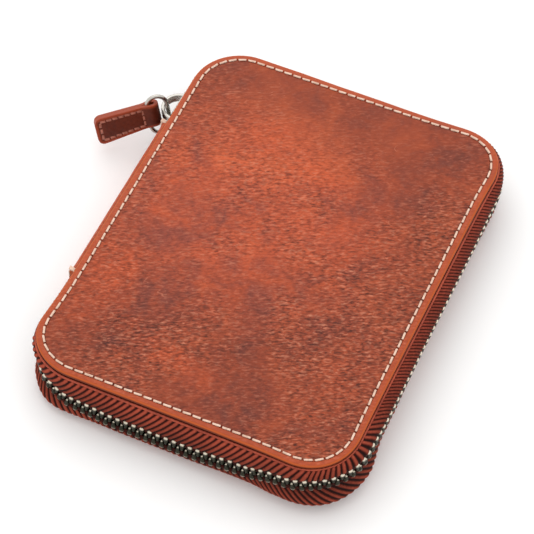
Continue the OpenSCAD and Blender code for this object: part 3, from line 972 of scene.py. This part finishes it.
def tabCentre(u):
    # centre line of the folded strip, u from -1 at one free end to 1 at the other
    look = pullShape
    foldX = look["gap"] - look["foldBack"]
    half = look["leather"] / 2
    straight = look["free"] - look["sewn"]
    taper = hypot(look["sewn"] - foldX, look["loop"] - half)
    bow = pi / 2 * look["loop"]
    total = straight + taper + bow
    left = abs(u) * total
    side = 1 if u >= 0 else -1
    if left <= bow:
        angle = pi - left / look["loop"]
        return Vector((foldX + look["loop"] * cos(angle), side * look["loop"] * sin(angle)))
    left -= bow
    if left <= taper:
        t = left / taper
        return Vector((foldX + (look["sewn"] - foldX) * t,
                       side * (look["loop"] + (half - look["loop"]) * ease(0, 1, t))))
    return Vector((look["sewn"] + left - taper, side * half))


def tabNarrow(x):
    # the lower edge rises towards the ring
    return min(1, max(0, (pullShape["free"] - x) / (pullShape["free"] - 3)))


def makeTab():
    look = pullShape
    bm = gridMesh(120, 26, 1)
    edge = bm.verts.layers.float.new("edge")
    corner = look["corner"]
    for v in bm.verts:
        centre = tabCentre(v.co.x)
        wide = look["width"] / 2
        beyond = centre.x - (look["free"] - corner)
        if beyond > 0:
            wide += sqrt(max(0, corner ** 2 - min(beyond, corner) ** 2)) - corner
        z = v.co.y * wide
        depth = min(wide - abs(z), look["free"] - centre.x)
        z += look["narrow"] * tabNarrow(centre.x) * (1 - v.co.y) / 2
        v[edge] = 1 - min(1, max(0, depth / 2.0))
        groove = look["groove"] * (1 - ease(0.25, 0.6, abs(depth - look["seam"])))
        if centre.x <= look["seamStart"]:
            groove = 0
        side = 1 if centre.y > 0 else -1
        v.co = (centre.x, centre.y - side * groove, z)
    bmesh.ops.recalc_face_normals(bm, faces=bm.faces)
    bmesh.ops.transform(bm, matrix=pullFrame, verts=bm.verts)
    piece = finishPiece(bm, "pullLeather", pullLeather, "pull_tab", ["tab_leather"], 50)
    addWall(piece, look["leather"], 0).use_even_offset = True
    breakEdges(piece, look["edge"], 3, 55)
    return piece


def makeTabStitches():
    look = pullShape
    x0, x1 = look["seamStart"], look["free"] - look["seam"] - 0.3
    z = look["width"] / 2 - look["seam"]
    small = stitchMesh(*look["stitch"])
    bm = bmesh.new()
    for side in (-1, 1):
        places = []
        count = round((x1 - x0) / look["stitchPitch"])
        for k in range(count):
            for edgeZ in (-z, z):
                point = Vector((x0 + (k + 0.5) * (x1 - x0) / count, side * look["leather"], edgeZ))
                places.append((point, Vector((1, 0, 0))))
        for k in range(3):
            for x in (x0, x1):
                point = Vector((x, side * look["leather"], -z + (k + 0.5) * 2 * z / 3))
                places.append((point, Vector((0, 0, 1))))
        for point, along in places:
            point.z += look["narrow"] * tabNarrow(point.x) * (1 - point.z / (look["width"] / 2)) / 2
            normal = Vector((0, side, 0))
            turn = Matrix((along, normal.cross(along), normal)).transposed().to_4x4()
            scatter(bm, small, [Matrix.Translation(point) @ turn])
    bmesh.ops.transform(bm, matrix=pullFrame, verts=bm.verts)
    return finishPiece(bm, "pullStitches", tabThreadInShade, "pull_tab", ["tab_stitches"], 60)


makeTab()
makeTabStitches()
print("slider and pull")

# Spine wrap: the cover leather carried over the spine, split at its middle into a lower and an upper
# piece
wrapShape = {"thickness": 1.2, "edge": 0.3, "lip": 0.45, "columns": 48, "rows": 28,
             "face": -54.3, "foldBand": (1.1, 3.4)}
wrapSection = [(-51.6, 18.25), (-52.5, 18.4), (-53.3, 18.35), (-53.9, 17.8), (-54.25, 16.8),
               (-54.4, 15.0), (-54.45, 12.5), (-54.45, 10.0)]


def makeWrap(name, front):
    look = wrapShape
    bm = gridMesh(look["columns"], look["rows"])
    edge = bm.verts.layers.float.new("edge")
    shift = stripLow.x - look["face"]
    for v in bm.verts:
        y = stripLow.y + (stripHigh.y - stripLow.y) * (v.co.x + 0.5)
        along = (v.co.y + 0.5) * (len(wrapSection) - 1)
        k = min(int(along), len(wrapSection) - 2)
        a, b = Vector(wrapSection[k]), Vector(wrapSection[k + 1])
        p = a.lerp(b, along - k)
        endward = ease(3.5, 0, y - stripLow.y) + 0.3 * ease(2, 0, stripHigh.y - y)
        p.x -= look["lip"] * endward * ease(18.4, 16.5, p.y)
        p.x += 0.1 * noise.noise((y / 9, p.y / 6, 4)) + shift
        v[edge] = 0.55 + 0.3 * ease(1.6, 0, min(y - stripLow.y, stripHigh.y - y))
        v.co = (p.x, y, p.y if front else caseHeight - p.y)
    bmesh.ops.recalc_face_normals(bm, faces=bm.faces)
    outer = max(bm.faces, key=lambda f: -f.calc_center_median().x)
    if outer.normal.x > 0:
        bmesh.ops.reverse_faces(bm, faces=bm.faces)
    piece = finishPiece(bm, name, frontLeather if front else backLeather,
                        nodes=["spine_strip"])
    addWall(piece, look["thickness"], -1)
    breakEdges(piece, look["edge"], 3, 55)
    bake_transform(piece)
    return piece


makeWrap("spineWrapLower", False)
makeWrap("spineWrapUpper", True)


# Bar tacks: two threads over each end of the strip, from its outer face to the cover's rim
tackShape = {"over": (3.1, 0.75, 0.55), "down": (2.4, 0.75, 0.5), "fromEnd": 0.2, "spread": 0.6,
             "overPlace": (-53.2, 18.45), "downPlace": (-54.4, 15.85), "tilt": 14}


def makeTacks():
    look = tackShape
    bm = bmesh.new()
    over = stitchMesh(*look["over"])
    down = stitchMesh(*look["down"])
    for end, inward in ((stripLow.y, 1), (stripHigh.y, -1)):
        for up in (-1, 1):
            for k in range(2):
                y = end + inward * (look["fromEnd"] + k * look["spread"])
                for shape, (x, z), degrees in ((over, look["overPlace"], up * look["tilt"]),
                                               (down, look["downPlace"], 90)):
                    place = Matrix.Translation((x, y, z if up > 0 else caseHeight - z))
                    scatter(bm, shape, [place @ Matrix.Rotation(radians(degrees), 4, "Y")])
    return finishPiece(bm, "barTacks", creamThread, "spine", ["bar_tacks"], 60)


makeTacks()
print("spine")

# Inside: linings with a turned rim, pockets and the thread that holds them
insideShape = {"roll": 0.22, "wave": 0.12, "step": 3.5, "mouthLift": 0.35, "liningCorner": 1.2,
               "pocketCorner": 6.5}


def makePanel(name, node, material, body, front, radius, mouth, seed):
    low, high = (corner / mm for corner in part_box(node))
    thickness = high.z - low.z
    width = high.x - low.x
    look = insideShape
    roll = look["roll"]
    rolled = [(roll * 0.3, roll), (roll * 0.7, roll * 0.6)]
    bm = roundedFace(width, 2 * abs(low.y), radius, 0)
    if mouth:
        bmesh.ops.bisect_plane(bm, geom=bm.verts[:] + bm.edges[:] + bm.faces[:], dist=0.0005,
                               plane_co=(0, high.y, 0), plane_no=(0, 1, 0), clear_outer=True)
    insetSteps(bm, bm.faces[:][0], rolled + [(2.0, 0.0)])
    closeUnder(bm, rolled)
    cutInSquares(bm, look["step"])
    for v in bm.verts:
        if v.co.z <= 0.01:
            v.co.z -= max(0, thickness - 2 * 1.6 * roll)
    top = max(v.co.z for v in bm.verts)
    for v in bm.verts:
        x, y = v.co.x, v.co.y
        near = min(width / 2 - abs(x), y - low.y, high.y - y)
        if v.co.z > 0.01:
            v.co.z += look["wave"] * noise.noise((x / 16, y / 16, seed)) * ease(0, 4, near)
        if mouth and v.co.z > -0.2:
            v.co.z += look["mouthLift"] * ease(26, 0, high.y - y) * ease(0, 30, width / 2 - abs(x))
    markEdge(bm, lambda v: min(width / 2 - abs(v.co.x), v.co.y - low.y, high.y - v.co.y), 2.5)
    # the shown side faces the middle of the case
    shift = (high.z if not front else caseHeight - low.z) - top
    bmesh.ops.translate(bm, vec=((low.x + high.x) / 2, 0, shift), verts=bm.verts)
    if front:
        turnOver(bm)
    return finishPiece(bm, name, material, body, [node])


for name, node, body, front, seed in (("backLining", "back_lining", "back_half", False, 1.0),
                                      ("frontLining", "front_lining", "front_half", True, 2.0)):
    makePanel(name, node, liningLeather, body, front,
              cornerRadius - insideShape["liningCorner"], False, seed)
for name, node, body, front, seed in (("slipPocket", "slip_pocket", "back_half", False, 3.0),
                                      ("cardPocketDeep", "card_pocket_deep", "front_half", True, 4.0),
                                      ("cardPocketShort", "card_pocket_short", "front_half", True, 5.0)):
    makePanel(name, node, pocketLeather, body, front,
              cornerRadius - insideShape["pocketCorner"], True, seed)


def pocketSeam(name, node, body, front):
    # down one side, round the near end and up the other
    low, high = (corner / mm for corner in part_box(node))
    inset = halfWidth - high.x - threadShape["width"] * 0.3
    z = high.z if not front else caseHeight - low.z
    bm = bmesh.new()
    places = seamPlaces(inset, z - 0.05, case["stitchPitch"], 1)
    scatter(bm, stitch, [place for place in places if place.translation.y < high.y])
    if front:
        turnOver(bm)
    return finishPiece(bm, name, creamThread, body, [node], 60)


pocketSeam("slipPocketSeam", "slip_pocket_stitches", "back_half", False)
pocketSeam("cardPocketSeam", "card_pocket_stitches", "front_half", True)


def makeSpineLining():
    low, high = (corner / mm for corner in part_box("spine_lining"))
    bm = bmesh.new()
    softBlock(bm, tuple(high - low), (high + low) / 2, 0.25, 3)
    bm.verts.layers.float.new("edge")
    return finishPiece(bm, "spineLining", liningLeather, "spine", ["spine_lining"])


makeSpineLining()
for node in ("back_stiffener", "front_stiffener"):
    mesh = frame["nodes"][node].data
    mesh.materials.clear()
    mesh.materials.append(board)
print("inside")

# Studio: a pale floor, an even pale sky and one large soft light
studio = {"floor": 0.93, "floorDrop": 0.4, "sky": 1.12, "skyColour": (1, 0.99, 0.98, 1),
          "key": 6.5, "keySize": 1.8, "keyPlace": (-0.5, 0.7, 1.3)}
floorMesh = meshFrom(gridMesh(1, 1, 3), "floor")
floor = addObject("floor", floorMesh)
floor.location.z = -studio["floorDrop"] * mm
floorMaterial, floorShader, _ = newMaterial("floor", 0.8)
plug(floorShader, "Base Color", opaque(studio["floor"]))
plug(floorShader, "Specular IOR Level", 0.1)
floorMesh.materials.append(floorMaterial)

sky = bpy.data.worlds.new("sky")
sky.use_nodes = True
sky.node_tree.nodes["Background"].inputs[0].default_value = studio["skyColour"]
sky.node_tree.nodes["Background"].inputs[1].default_value = studio["sky"]
bpy.context.scene.world = sky
bpy.context.scene.view_settings.view_transform = "Standard"

key = addObject("key", bpy.data.lights.new("key", "AREA"))
key.data.shape = "DISK"
key.data.size = studio["keySize"]
key.data.energy = studio["key"]
key.location = studio["keyPlace"]
key.rotation_mode = "QUATERNION"
key.rotation_quaternion = key.location.to_track_quat("Z", "Y")
print("studio")
